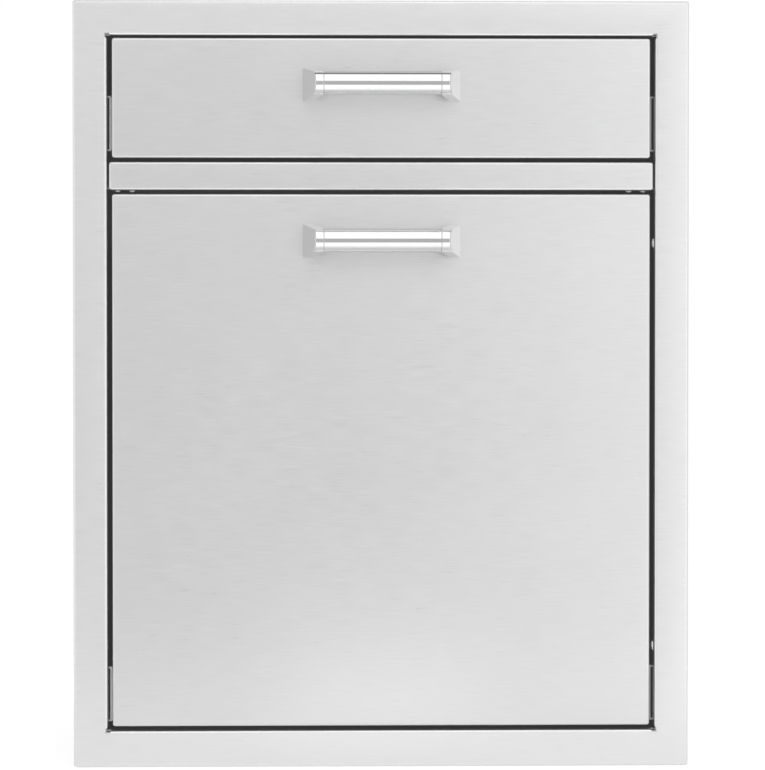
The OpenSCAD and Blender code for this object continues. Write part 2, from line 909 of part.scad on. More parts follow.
face_frame();
side_panel_left();
side_panel_right();
back_panel();
bottom_pan();
top_panel();
divider_rail();
divider_brackets();
divider_screws();
slide_brackets();
upper_slide_outer_left();
upper_slide_outer_right();
trash_slide_outer_left();
trash_slide_outer_right();
slide_outer_screws();
slide_stops();
upper_front_skin();
upper_front_liner();
upper_drawer_box();
upper_drawer_back();
upper_front_screws();
upper_handle_bar();
upper_handle_post_left();
upper_handle_post_right();
upper_handle_screws();
upper_slide_inner_left();
upper_slide_inner_right();
upper_slide_inner_screws();
upper_release_lever_left();
upper_release_lever_right();
upper_slide_middle_left();
upper_slide_middle_right();
upper_outer_cages();
upper_outer_balls();
upper_inner_cages();
upper_inner_balls();
trash_front_skin();
trash_front_liner();
trash_tray();
trash_tray_back();
trash_gusset_left();
trash_gusset_right();
bin_rails();
trash_front_screws();
trash_handle_bar();
trash_handle_post_left();
trash_handle_post_right();
trash_handle_screws();
trash_slide_inner_left();
trash_slide_inner_right();
trash_slide_inner_screws();
trash_release_lever_left();
trash_release_lever_right();
trash_slide_middle_left();
trash_slide_middle_right();
trash_outer_cages();
trash_outer_balls();
trash_inner_cages();
trash_inner_balls();
trash_bin();
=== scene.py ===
import math

import bmesh
import bpy
from mathutils import Matrix, Vector


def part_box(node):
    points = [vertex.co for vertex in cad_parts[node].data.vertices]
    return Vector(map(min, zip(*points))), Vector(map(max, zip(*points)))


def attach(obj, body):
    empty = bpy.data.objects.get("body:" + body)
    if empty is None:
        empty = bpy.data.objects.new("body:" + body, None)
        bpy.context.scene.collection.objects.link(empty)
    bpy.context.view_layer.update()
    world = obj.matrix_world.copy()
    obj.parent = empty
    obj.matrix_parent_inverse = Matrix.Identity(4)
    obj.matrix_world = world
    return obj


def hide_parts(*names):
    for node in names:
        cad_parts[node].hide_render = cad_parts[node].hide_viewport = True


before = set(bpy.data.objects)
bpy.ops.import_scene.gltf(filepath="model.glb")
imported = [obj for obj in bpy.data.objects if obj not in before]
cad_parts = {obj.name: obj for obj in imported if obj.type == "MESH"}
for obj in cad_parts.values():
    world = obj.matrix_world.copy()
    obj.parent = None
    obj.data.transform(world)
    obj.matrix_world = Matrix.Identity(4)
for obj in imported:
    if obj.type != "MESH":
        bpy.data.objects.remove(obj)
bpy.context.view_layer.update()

MM = 0.001

# ---------------------------------------------------------------- camera
# A long lens stands well in front of the cabinet, a little above the middle of its face and
# a little to its left, and looks back towards the middle.
face_lo, face_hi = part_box("face_frame")
face_mid_z = (face_lo.z + face_hi.z) / 2
CAMERA_PLACE = (-0.095, -3.276, face_mid_z + 0.080)
LOOK_DOWN = 1.41                         # degrees
LOOK_RIGHT = 1.68
LENS_LENGTH = 185.2                      # millimetres, on a 36 mm sensor
camera_data = bpy.data.cameras.new("camera")
camera = bpy.data.objects.new("camera", camera_data)
camera.location = CAMERA_PLACE
camera.rotation_euler = (math.radians(90 - LOOK_DOWN), 0, math.radians(-LOOK_RIGHT))
camera_data.sensor_width = 36
camera_data.lens = LENS_LENGTH
camera_data.clip_start = 0.05
bpy.context.scene.collection.objects.link(camera)
bpy.context.scene.camera = camera
bpy.context.scene.view_settings.view_transform = "Standard"

# ---------------------------------------------------------------- studio
# A round light table under the cabinet, level with its frame's lowest edge, in a room of soft
# light: a grey band in front with a bright panel on its right, a tall softbox above and below
# the band, middling walls and a dim ceiling. The camera itself sees plain white behind.
FLOOR_RADIUS = 0.95
FLOOR_FADE = 0.50
FLOOR_MIDDLE = (0, 0.25, face_lo.z)
FLOOR_DROP = 0.0005                      # the table lies this far under the frame
FLOOR_GREY = 0.70
GLOW_START, GLOW_FULL = -0.10, -0.35     # the table grows brighter between these depths
AISLE_EDGE, AISLE_FULL = 0.112, 0.082    # half widths of the bright middle aisle
NEAR_GLOW = 0.31                         # the table is dim under the face,
FAR_GLOW = 0.50                          # brighter further out in front of it
AISLE_GLOW = 0.36                        # and brightest along the middle of that part
SEEN_GLOW = 0.62                         # what the camera itself sees is evenly white
DARKEST_GREY = 0.03                      # the camera's own flare, which lifts full black
BRIGHTEST = 1.6                          # the level that a ramp's full white stands for
STRIP_LEVEL = 1.4                        # tall softbox in front, above and below the grey band
OVERHEAD_LEVEL = 0.25


def new_tree(material):
    """Clears a node material and returns its tree with the output node."""
    material.use_nodes = True
    tree = material.node_tree
    tree.nodes.clear()
    return tree, tree.nodes.new("ShaderNodeOutputMaterial")


def ramp(tree, value, stops, interpolation="EASE"):
    """A grey colour ramp through (position, brightness) stops, fed by a value socket."""
    node = tree.nodes.new("ShaderNodeValToRGB")
    node.color_ramp.interpolation = interpolation
    elements = node.color_ramp.elements
    while len(elements) < len(stops):
        elements.new(0.5)
    for element, (position, grey) in zip(elements, stops):
        element.position = position
        element.color = (grey, grey, grey, 1)
    tree.links.new(value, node.inputs["Fac"])
    return node.outputs["Color"]


def math_node(tree, operation, a, b=None, c=None, clamp=False):
    """A Math node; each input is a socket or a number."""
    node = tree.nodes.new("ShaderNodeMath")
    node.operation = operation
    node.use_clamp = clamp
    for socket, value in zip(node.inputs, (a, b, c)):
        if isinstance(value, (int, float)):
            socket.default_value = value
        elif value is not None:
            tree.links.new(value, socket)
    return node.outputs[0]


def between(tree, value, start, end):
    """Brings a value to 0 at the start and 1 at the end, and holds it beyond them."""
    slope = 1 / (end - start)
    return math_node(tree, "MULTIPLY_ADD", value, slope, -start * slope, clamp=True)


floor_mesh = bpy.data.meshes.new("floor")
floor_shape = bmesh.new()
bmesh.ops.create_circle(floor_shape, cap_ends=True, segments=96, radius=FLOOR_RADIUS)
bmesh.ops.translate(floor_shape, verts=floor_shape.verts,
                    vec=Vector(FLOOR_MIDDLE) - Vector((0, 0, FLOOR_DROP)))
floor_shape.to_mesh(floor_mesh)
floor_shape.free()
floor = bpy.data.objects.new("floor", floor_mesh)
bpy.context.scene.collection.objects.link(floor)
floor_paint = bpy.data.materials.new("studio_floor")
tree, output = new_tree(floor_paint)
floor_shader = tree.nodes.new("ShaderNodeBsdfPrincipled")
floor_shader.inputs["Base Color"].default_value = (FLOOR_GREY, FLOOR_GREY, FLOOR_GREY, 1)
floor_shader.inputs["Roughness"].default_value = 0.7
floor_place = tree.nodes.new("ShaderNodeTexCoord").outputs["Object"]
floor_middle = tree.nodes.new("ShaderNodeVectorMath")
floor_middle.operation = "DISTANCE"
floor_middle.inputs[1].default_value = FLOOR_MIDDLE
tree.links.new(floor_place, floor_middle.inputs[0])
tree.links.new(between(tree, floor_middle.outputs["Value"], FLOOR_RADIUS,
                       FLOOR_RADIUS - FLOOR_FADE), floor_shader.inputs["Alpha"])
floor_xyz = tree.nodes.new("ShaderNodeSeparateXYZ")
tree.links.new(floor_place, floor_xyz.inputs[0])
outwards = between(tree, floor_xyz.outputs["Y"], GLOW_START, GLOW_FULL)
off_middle = math_node(tree, "ABSOLUTE", floor_xyz.outputs["X"])
aisle = between(tree, off_middle, AISLE_EDGE, AISLE_FULL)
glow = math_node(tree, "MULTIPLY_ADD", aisle, AISLE_GLOW, FAR_GLOW - NEAR_GLOW)
glow = math_node(tree, "MULTIPLY_ADD", glow, outwards, NEAR_GLOW)
by_camera = tree.nodes.new("ShaderNodeLightPath").outputs["Is Camera Ray"]
seen_glow = math_node(tree, "MULTIPLY", by_camera, SEEN_GLOW)
tree.links.new(math_node(tree, "MAXIMUM", glow, seen_glow),
               floor_shader.inputs["Emission Strength"])
tree.links.new(floor_shader.outputs[0], output.inputs["Surface"])
floor_mesh.materials.append(floor_paint)

world = bpy.data.worlds.new("studio")
bpy.context.scene.world = world
world.use_nodes = True
tree = world.node_tree
tree.nodes.clear()
direction = tree.nodes.new("ShaderNodeSeparateXYZ")
tree.links.new(tree.nodes.new("ShaderNodeTexCoord").outputs["Generated"], direction.inputs[0])


def half_range(socket):
    """Brings a direction's component from -1..1 to 0..1 for a ramp."""
    return math_node(tree, "MULTIPLY_ADD", socket, 0.5, 0.5)


along_x, along_y, along_z = (half_range(direction.outputs[axis]) for axis in "XYZ")


def levels(value, *stops):
    """A ramp of brightness levels, which may pass 1."""
    grey = ramp(tree, value, [(position, level / BRIGHTEST) for position, level in stops])
    return math_node(tree, "MULTIPLY", grey, BRIGHTEST)


def mixed(share, first, second):
    """The first value, giving way to the second as the share goes from 0 to 1."""
    node = tree.nodes.new("ShaderNodeMix")
    node.data_type = "FLOAT"
    for socket, value in zip(node.inputs[0:1] + node.inputs[2:4], (share, first, second)):
        if isinstance(value, (int, float)):
            socket.default_value = value
        else:
            tree.links.new(value, socket)
    return node.outputs[0]


# Each component of a direction runs from 0 to 1, and is 0.5 where it points neither way
outside_band = ramp(tree, along_z, [(0.28, 1), (0.335, 0), (0.62, 0), (0.665, 1)])
behind = ramp(tree, along_y, [(0.35, 0), (0.6, 1)])
front = ramp(tree, along_y, [(0.49, 1), (0.52, 0)])
strip = ramp(tree, along_x, [(0.42, 0), (0.46, 1), (0.57, 1), (0.61, 0)])
overhead = ramp(tree, along_z, [(0.92, 0), (0.95, 1)])
band_level = levels(along_x, (0.0, 0.85), (0.10, 0.95), (0.18, 0.95), (0.26, 0.70),
                    (0.44, 0.60), (0.53, 0.55), (0.60, 0.70), (0.67, 1.60), (0.72, 1.60),
                    (0.78, 0.85), (1.0, 0.80))
open_level = levels(along_x, (0.0, 0.80), (0.20, 0.60), (0.28, 0.52), (0.45, 0.75),
                    (0.60, 0.80), (0.72, 0.85), (1.0, 0.72))
open_part = math_node(tree, "MAXIMUM", outside_band, behind)
level = mixed(open_part, band_level, open_level)
strip_part = math_node(tree, "MULTIPLY", math_node(tree, "MULTIPLY", strip, front), outside_band)
level = mixed(overhead, level, OVERHEAD_LEVEL)
level = mixed(strip_part, level, STRIP_LEVEL)
studio_light = tree.nodes.new("ShaderNodeBackground")
tree.links.new(level, studio_light.inputs["Strength"])
white_view = tree.nodes.new("ShaderNodeBackground")
by_ray = tree.nodes.new("ShaderNodeMixShader")
tree.links.new(tree.nodes.new("ShaderNodeLightPath").outputs["Is Camera Ray"], by_ray.inputs[0])
tree.links.new(studio_light.outputs[0], by_ray.inputs[1])
tree.links.new(white_view.outputs[0], by_ray.inputs[2])
tree.links.new(by_ray.outputs[0], tree.nodes.new("ShaderNodeOutputWorld").inputs["Surface"])
for background in (studio_light, white_view):
    background.inputs["Color"].default_value = (1, 1, 1, 1)

view_settings = bpy.context.scene.view_settings
view_settings.use_curve_mapping = True
view_settings.curve_mapping.black_level = (-DARKEST_GREY, -DARKEST_GREY, -DARKEST_GREY)
view_settings.curve_mapping.update()

# ---------------------------------------------------------------- face frame
# One stainless sheet, cut out for the drawers, folded back round its outer edge and into the
# opening, with drilled relief where the inner folds meet. Brushed from side to side.
SHEET = 1.2 * MM
BOX_SHEET = 1.0 * MM
BEND = 2.0 * MM
ARC_STEPS = 8
WELD = 1e-6                              # points closer than this become one
TINY = 1e-7


def link_mesh(name, shape, material, smooth_angle=30):
    """Makes an object from a bmesh, with round parts smooth and corners crisp."""
    mesh = bpy.data.meshes.new(name)
    shape.to_mesh(mesh)
    shape.free()
    return link_object(name, mesh, material, smooth_angle)


def link_object(name, mesh, material, smooth_angle=30):
    """Makes an object from a mesh with one material, smooth but for its sharp edges."""
    piece = bpy.data.objects.new(name, mesh)
    bpy.context.scene.collection.objects.link(piece)
    mesh.materials.clear()
    mesh.materials.append(material)
    mesh.polygons.foreach_set("use_smooth", [True] * len(mesh.polygons))
    mesh.polygons.foreach_set("material_index", [0] * len(mesh.polygons))
    mesh.set_sharp_from_angle(angle=math.radians(smooth_angle))
    return piece


FACE_WEIGHT = 90                         # of 100: how far the larger faces rule


def even_shading(piece):
    """Lets the larger faces set the shading beside narrow bevels."""
    weights = piece.modifiers.new("even_shading", "WEIGHTED_NORMAL")
    weights.keep_sharp = True
    weights.weight = FACE_WEIGHT


def apply_modifiers(piece, smooth_angle=30):
    """Turns the evaluated piece into a plain mesh and removes its modifiers."""
    graph = bpy.context.evaluated_depsgraph_get()
    mesh = bpy.data.meshes.new_from_object(piece.evaluated_get(graph), depsgraph=graph)
    piece.modifiers.clear()
    old = piece.data
    mesh.name = piece.name
    piece.data = mesh
    bpy.data.meshes.remove(old)
    if smooth_angle:
        mesh.polygons.foreach_set("use_smooth", [True] * len(mesh.polygons))
        mesh.set_sharp_from_angle(angle=math.radians(smooth_angle))
    return piece


def give(piece, body, slot, *nodes):
    """The piece rides on its body and stands for CAD nodes, which it hides; the slot is not used.
    """
    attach(piece, body)
    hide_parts(*nodes)
    return piece


def rounded_outline(x0, x1, z0, z1, radius, steps=ARC_STEPS // 2):
    """Points round a rectangle whose corners are rounded, as pairs."""
    points = []
    radius = max(radius, TINY)
    corners = [(x1 - radius, z0 + radius, -90), (x1 - radius, z1 - radius, 0),
               (x0 + radius, z1 - radius, 90), (x0 + radius, z0 + radius, 180)]
    for cx, cz, start in corners:
        for i in range(steps + 1):
            turn = math.radians(start + 90 * i / steps)
            points.append((cx + radius * math.cos(turn), cz + radius * math.sin(turn)))
    return points


def rounded_ring(x0, x1, z0, z1, radius, y):
    """The outline as points in the plane y."""
    return [Vector((x, y, z)) for x, z in rounded_outline(x0, x1, z0, z1, radius)]


def fold_arc(count=ARC_STEPS):
    """(sideways, forward) shares of a quarter fold, from the return to the face."""
    for i in range(count + 1):
        turn = math.pi / 2 * i / count
        yield 1 - math.cos(turn), math.sin(turn)


def skin_rings(shape, rings, close=False):
    """Joins rings of equal length into a sheet, and closes the last one if asked."""
    rows = [[shape.verts.new(point) for point in ring] for ring in rings]
    for row, following in zip(rows, rows[1:]):
        for i in range(len(row)):
            j = (i + 1) % len(row)
            shape.faces.new((row[i], row[j], following[j], following[i]))
    if close:
        shape.faces.new(rows[-1])
    return rows


def pan_rings(x0, x1, z0, z1, y_face, y_back):
    """Rings of a pan: from its back edge along the returns, round the folds to the face."""
    rings = [rounded_ring(x0, x1, z0, z1, BEND, y_back)]
    for inset, rise in fold_arc():
        d = BEND * inset
        rings.append(rounded_ring(x0 + d, x1 - d, z0 + d, z1 - d, BEND - d,
                                  y_face + BEND * (1 - rise)))
    return rings


def node_group(name, inputs, outputs):
    """A shader node group with named float or vector inputs and float outputs."""
    group = bpy.data.node_groups.new(name, "ShaderNodeTree")
    for label, kind, value in inputs:
        socket = group.interface.new_socket(name=label, in_out="INPUT", socket_type=kind)
        if value is not None:
            socket.default_value = value
    for label in outputs:
        group.interface.new_socket(name=label, in_out="OUTPUT", socket_type="NodeSocketFloat")
    return group, group.nodes.new("NodeGroupInput"), group.nodes.new("NodeGroupOutput")


# Grain: streaks drawn out along X, fine across it, and broad soft clouds
grain, grain_in, grain_out = node_group(
    "brush_grain",
    [("Place", "NodeSocketVector", None), ("Streak Length", "NodeSocketFloat", 0.03),
     ("Streak Width", "NodeSocketFloat", 0.0008), ("Cloud Size", "NodeSocketFloat", 0.15)],
    ["Streaks", "Fine", "Clouds"])


NOISE_ROUGHNESS = 0.65
STREAK_CONTRAST = 2.0
FINE_SHARE = 0.3                         # width of the fine grain, as a share of the streaks'


def stretched_noise(group, place, along, across, detail, contrast=1.0):
    """Noise drawn out along X by one length and thin across it by another."""
    scale = group.nodes.new("ShaderNodeCombineXYZ")
    group.links.new(math_node(group, "DIVIDE", 1.0, along), scale.inputs[0])
    for i in (1, 2):
        group.links.new(math_node(group, "DIVIDE", 1.0, across), scale.inputs[i])
    place_scaled = group.nodes.new("ShaderNodeVectorMath")
    place_scaled.operation = "MULTIPLY"
    group.links.new(place, place_scaled.inputs[0])
    group.links.new(scale.outputs[0], place_scaled.inputs[1])
    noise = group.nodes.new("ShaderNodeTexNoise")
    noise.inputs["Scale"].default_value = 1
    noise.inputs["Detail"].default_value = detail
    noise.inputs["Roughness"].default_value = NOISE_ROUGHNESS
    group.links.new(place_scaled.outputs[0], noise.inputs["Vector"])
    return math_node(group, "MULTIPLY_ADD", noise.outputs["Fac"], contrast,
                     0.5 - 0.5 * contrast, clamp=True)


streaks = stretched_noise(grain, grain_in.outputs["Place"], grain_in.outputs["Streak Length"],
                          grain_in.outputs["Streak Width"], 3, STREAK_CONTRAST)
fine_width = math_node(grain, "MULTIPLY", grain_in.outputs["Streak Width"], FINE_SHARE)
fine = stretched_noise(grain, grain_in.outputs["Place"], grain_in.outputs["Streak Length"],
                       fine_width, 2)
clouds = stretched_noise(grain, grain_in.outputs["Place"], grain_in.outputs["Cloud Size"],
                         grain_in.outputs["Cloud Size"], 1)
for label, socket in (("Streaks", streaks), ("Fine", fine), ("Clouds", clouds)):
    grain.links.new(socket, grain_out.inputs[label])

# Wear: where the surface turns over an edge, broken up by noise. On the metals this mask also
# paints a highlight along the folds.
WEAR_GAIN = 4.0
WEAR_NOISE_SCALE = 300
wear, wear_in, wear_out = node_group(
    "edge_wear",
    [("Place", "NodeSocketVector", None), ("Width", "NodeSocketFloat", 0.001),
     ("Breakup", "NodeSocketFloat", 0.4)],
    ["Wear"])
soft_normal = wear.nodes.new("ShaderNodeBevel")
soft_normal.samples = 4
wear.links.new(wear_in.outputs["Width"], soft_normal.inputs["Radius"])
turned = wear.nodes.new("ShaderNodeVectorMath")
turned.operation = "DOT_PRODUCT"
wear.links.new(soft_normal.outputs[0], turned.inputs[0])
wear.links.new(wear.nodes.new("ShaderNodeNewGeometry").outputs["Normal"], turned.inputs[1])
turned_away = math_node(wear, "SUBTRACT", 1.0, turned.outputs["Value"])
over_edge = math_node(wear, "MULTIPLY", turned_away, WEAR_GAIN, clamp=True)
wear_noise = wear.nodes.new("ShaderNodeTexNoise")
wear_noise.inputs["Scale"].default_value = WEAR_NOISE_SCALE
wear_noise.inputs["Detail"].default_value = 2
wear.links.new(wear_in.outputs["Place"], wear_noise.inputs["Vector"])
broken = math_node(wear, "MULTIPLY", wear_noise.outputs["Fac"], wear_in.outputs["Breakup"])
wear.links.new(math_node(wear, "MULTIPLY", over_edge, math_node(wear, "SUBTRACT", 1.0, broken)),
               wear_out.inputs["Wear"])


def group_node(tree, group, **values):
    """Places a node group; underscores in a name stand for spaces."""
    node = tree.nodes.new("ShaderNodeGroup")
    node.node_tree = group
    for label, value in values.items():
        node.inputs[label.replace("_", " ")].default_value = value
    return node


def scaled(tree, value, low, high):
    """Brings a 0..1 value to low..high."""
    return math_node(tree, "MULTIPLY_ADD", value, high - low, low)


def tint(tree, amount, dark, light):
    """A colour between two, by a 0..1 value."""
    node = tree.nodes.new("ShaderNodeMix")
    node.data_type = "RGBA"
    node.inputs[6].default_value = (*dark, 1)
    node.inputs[7].default_value = (*light, 1)
    if isinstance(amount, (int, float)):
        node.inputs[0].default_value = amount
    else:
        tree.links.new(amount, node.inputs[0])
    return node.outputs[2]


SIDEWAYS = 0.75                          # a face this much turned to the side looks sideways


def grain_place(tree, lengthwise):
    """Object coordinates whose first axis runs with the grain: across the cabinet, or along its
    depth on a lengthwise piece and on every face that looks sideways."""
    coordinates = tree.nodes.new("ShaderNodeTexCoord")
    across, along = (tree.nodes.new("ShaderNodeMapping") for _ in range(2))
    along.inputs["Rotation"].default_value = (0, 0, math.radians(90))
    for mapping in (across, along):
        tree.links.new(coordinates.outputs["Object"], mapping.inputs["Vector"])
    if lengthwise:
        return along.outputs[0]
    facing = tree.nodes.new("ShaderNodeSeparateXYZ")
    tree.links.new(coordinates.outputs["Normal"], facing.inputs[0])
    sideways = math_node(tree, "ABSOLUTE", facing.outputs["X"])
    choice = tree.nodes.new("ShaderNodeMix")
    choice.data_type = "VECTOR"
    tree.links.new(math_node(tree, "GREATER_THAN", sideways, SIDEWAYS), choice.inputs[0])
    tree.links.new(across.outputs[0], choice.inputs[4])
    tree.links.new(along.outputs[0], choice.inputs[5])
    return choice.outputs[1]


def metal(name, dark, light, rough, streak_length, streak_width, bump, wear_width=0.0008,
          wear_shine=0.12, cloud=0.15, lengthwise=False, grazing=1.0):
    """A bare metal with a drawn-out grain, clouded colour and rubbed edges, smoother and painted
    brighter as a highlight.
    """
    material = bpy.data.materials.new(name)
    tree, output = new_tree(material)
    shader = tree.nodes.new("ShaderNodeBsdfPrincipled")
    shader.inputs["Metallic"].default_value = 1
    shader.inputs["Specular Tint"].default_value = (grazing, grazing, grazing, 1)
    place = grain_place(tree, lengthwise)
    grain_node = group_node(tree, grain, Streak_Length=streak_length, Streak_Width=streak_width,
                            Cloud_Size=cloud)
    wear_node = group_node(tree, wear, Width=wear_width)
    for node in (grain_node, wear_node):
        tree.links.new(place, node.inputs["Place"])
    shade = math_node(tree, "MULTIPLY_ADD", grain_node.outputs["Streaks"], 0.5,
                      math_node(tree, "MULTIPLY", grain_node.outputs["Clouds"], 0.5))
    # The rubbed edges are painted brighter: partly wear, partly a painted highlight of the folds.
    edge_highlight_and_wear = math_node(tree, "MULTIPLY", wear_node.outputs["Wear"], 0.5)
    shade = math_node(tree, "ADD", shade, edge_highlight_and_wear, clamp=True)
    tree.links.new(tint(tree, shade, dark, light), shader.inputs["Base Color"])
    roughness = scaled(tree, grain_node.outputs["Streaks"], rough[0], rough[1])
    roughness = math_node(tree, "SUBTRACT", roughness,
                          math_node(tree, "MULTIPLY", wear_node.outputs["Wear"], wear_shine))
    tree.links.new(roughness, shader.inputs["Roughness"])
    relief = tree.nodes.new("ShaderNodeBump")
    relief.inputs["Strength"].default_value = 1
    relief.inputs["Distance"].default_value = bump
    tree.links.new(grain_node.outputs["Fine"], relief.inputs["Height"])
    tree.links.new(relief.outputs[0], shader.inputs["Normal"])
    tree.links.new(shader.outputs[0], output.inputs["Surface"])
    return material


BRUSHED = {"rough": (0.27, 0.41), "streak_length": 0.022, "streak_width": 0.0009,
           "bump": 0.000006}
# The frame is the same brushed stainless as the fronts; its colour is painted lighter to stand in
# for the extra light that falls on it.
frame_stainless = metal("frame_stainless", (0.88, 0.88, 0.885), (0.98, 0.98, 0.985), **BRUSHED)

open_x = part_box("side_panel_right")[1].x - BOX_SHEET - SHEET
open_z0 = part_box("bottom_pan")[1].z + SHEET
open_z1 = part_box("top_panel")[0].z - SHEET
RELIEF_RADIUS = 2.5 * MM
DRILL_LENGTH = 30 * MM
DRILL_SIDES = 32

shape = bmesh.new()
frame_rings = pan_rings(face_lo.x, face_hi.x, face_lo.z, face_hi.z, face_lo.y, 0)
for inset, rise in reversed(list(fold_arc())):
    e = BEND * inset
    frame_rings.append(rounded_ring(-open_x - e, open_x + e, open_z0 - e, open_z1 + e, 0,
                                    face_lo.y + BEND * (1 - rise)))
frame_rings.append(rounded_ring(-open_x, open_x, open_z0, open_z1, 0, face_hi.y))
skin_rings(shape, frame_rings)
bmesh.ops.remove_doubles(shape, verts=shape.verts, dist=WELD)
face_frame = link_mesh("face_frame_sheet", shape, frame_stainless)


def thicken(piece, thickness):
    """Gives a folded skin its sheet thickness, behind the visible face."""
    solid = piece.modifiers.new("sheet", "SOLIDIFY")
    solid.thickness = thickness
    solid.offset = -1
    solid.use_even_offset = True
    return solid


thicken(face_frame, SHEET)
drill_shape = bmesh.new()
for x in (-open_x, open_x):
    for z in (open_z0, open_z1):
        place = Matrix.Translation((x, (face_lo.y + face_hi.y) / 2, z))
        place = place @ Matrix.Rotation(math.radians(90), 4, "X")
        bmesh.ops.create_cone(drill_shape, cap_ends=True, segments=DRILL_SIDES,
                              radius1=RELIEF_RADIUS, radius2=RELIEF_RADIUS,
                              depth=DRILL_LENGTH, matrix=place)
relief_drill = link_mesh("relief_drill", drill_shape, frame_stainless)
cut = face_frame.modifiers.new("relief", "BOOLEAN")
cut.operation = "DIFFERENCE"
cut.solver = "EXACT"
cut.object = relief_drill
apply_modifiers(face_frame)
bpy.data.objects.remove(relief_drill)
give(face_frame, "cabinet", "brushed_stainless", "face_frame")

# ---------------------------------------------------------------- drawer front skins
# The outer pan of each hollow front: one brushed stainless sheet folded back on four sides,
# its corners welded and ground round. The handle screws pass through its face.
brushed_stainless = metal("brushed_stainless", (0.80, 0.80, 0.805), (0.91, 0.91, 0.915),
                          **BRUSHED)

for row in ("upper", "trash"):
    lo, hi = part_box(f"{row}_front_skin")
    shape = bmesh.new()
    skin_rings(shape, pan_rings(lo.x, hi.x, lo.z, hi.z, lo.y, hi.y), close=True)
    bmesh.ops.remove_doubles(shape, verts=shape.verts, dist=WELD)
    skin = link_mesh(f"{row}_front_outer_skin", shape, brushed_stainless)
    thicken(skin, SHEET)
    apply_modifiers(skin)
    give(skin, f"{row}_drawer", "brushed_stainless", f"{row}_front_skin")

# ---------------------------------------------------------------- divider rail
# A brushed stainless channel between the drawers. Its face is folded over all round, and its
# top and bottom flanges run back to the angles that it is screwed to.
lo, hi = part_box("divider_rail")
END_FOLD = 4 * MM
shape = bmesh.new()
rows = skin_rings(shape, pan_rings(lo.x, hi.x, lo.z, hi.z, lo.y, lo.y + END_FOLD), close=True)
for z in (lo.z, hi.z):
    edge = [v for v in rows[0] if abs(v.co.z - z) < TINY]
    ends = sorted(edge, key=lambda v: v.co.x)
    near = [ends[0], ends[-1]]
    far = [shape.verts.new((v.co.x, hi.y, z)) for v in near]
    order = (near[1], near[0], far[0], far[1]) if z == lo.z else (near[0], near[1], far[1], far[0])
    shape.faces.new(order)
bmesh.ops.remove_doubles(shape, verts=shape.verts, dist=WELD)
divider = link_mesh("divider_channel", shape, brushed_stainless)
thicken(divider, SHEET)
apply_modifiers(divider)
give(divider, "cabinet", "brushed_stainless", "divider_rail")

# ---------------------------------------------------------------- handle bars
# Two polished stainless tubes, 19 mm across. Each is cut square, its ends lightly broken, and
# slides over the spigots of the two end posts, which leaves a fine seam at each end.
END_BREAK = 0.25 * MM
SPIGOT_RADIUS = 8.0 * MM
SPIGOT_PLAY = 0.02 * MM
ROUND_STEPS = 96

POLISHED = {"streak_width": 0.0006, "wear_width": 0.0005, "wear_shine": 0.03, "cloud": 0.02}
polished_stainless = metal("polished_stainless", (0.70, 0.70, 0.705), (0.78, 0.78, 0.785),
                           (0.07, 0.12), 0.012, bump=0.0000007, grazing=0.55, **POLISHED)


def turned_shape(shape, profile, steps=ROUND_STEPS, close=False):
    """Turns an (along, radius) profile about the X axis; a closed one joins its own start."""
    rings = []
    for along, radius in profile:
        rings.append([Vector((along, radius * math.cos(2 * math.pi * i / steps),
                              radius * math.sin(2 * math.pi * i / steps))) for i in range(steps)])
    if close:
        rings.append(rings[0])
    skin_rings(shape, rings)
    bmesh.ops.remove_doubles(shape, verts=shape.verts, dist=TINY)


for row in ("upper", "trash"):
    lo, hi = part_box(f"{row}_handle_bar")
    bar_radius = (hi.z - lo.z) / 2
    bar_middle = (lo + hi) / 2
    bore = SPIGOT_RADIUS + SPIGOT_PLAY
    shape = bmesh.new()
    turned_shape(shape, [(lo.x, bar_radius - END_BREAK), (lo.x + END_BREAK, bar_radius),
                         (hi.x - END_BREAK, bar_radius), (hi.x, bar_radius - END_BREAK),
                         (hi.x, bore), (lo.x, bore)], close=True)
    bmesh.ops.translate(shape, verts=shape.verts, vec=(0, bar_middle.y, bar_middle.z))
    bmesh.ops.recalc_face_normals(shape, faces=shape.faces)
    tube = link_mesh(f"{row}_handle_tube", shape, polished_stainless)
    give(tube, f"{row}_drawer", "polished_stainless", f"{row}_handle_bar")

# ---------------------------------------------------------------- handle end posts
# Solid polished stainless. A post carries on the bar's round front, then flares in height and
# leans outwards to a flat foot that a screw pulls against the drawer front.
FOOT_WIDTH = 9.2 * MM
OUTER_LEAN = 9.9 / 42.5                  # how far the outer face leans out, over the depth
RIM_BEVEL = 0.8 * MM
INNER_BEVEL = 0.4 * MM
NOSE_STEPS = 32                          # round the post's half-round front
CORNER_ANGLE = math.radians(40)

post_stainless = metal("post_stainless", (0.72, 0.72, 0.725), (0.80, 0.80, 0.805), (0.08, 0.14),
                       0.010, bump=0.0000008, grazing=0.9, **POLISHED)


